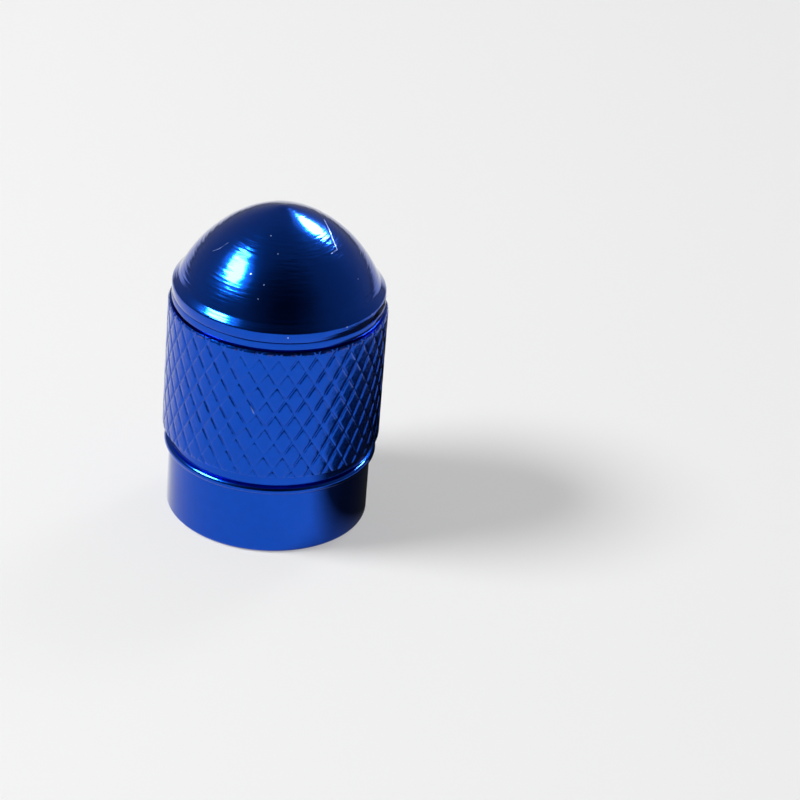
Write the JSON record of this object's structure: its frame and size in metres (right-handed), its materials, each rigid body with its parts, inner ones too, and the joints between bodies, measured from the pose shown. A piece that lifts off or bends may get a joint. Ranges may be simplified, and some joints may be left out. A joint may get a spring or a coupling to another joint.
{
  "type": "tyre valve cap",
  "caption": "Turned and knurled metal tyre valve cap with a pointed nose, a beaded skirt and a rubber sealing washer inside.",
  "frame": {"origin": "centre of the mouth, on the face that the cap stands on", "axes": "+Z along the cap's own axis, from the mouth to the tip of the nose; X and Y square to it"},
  "size_m": [0.01, 0.01, 0.0153],
  "materials": {
    "anodised_aluminium": "blue anodised, bright turned, diamond knurl",
    "rubber": "black, matt"
  },
  "bodies": {
    "root": {"cap_body": "anodised_aluminium", "seal_washer": "rubber"}
  },
  "joints": []
}
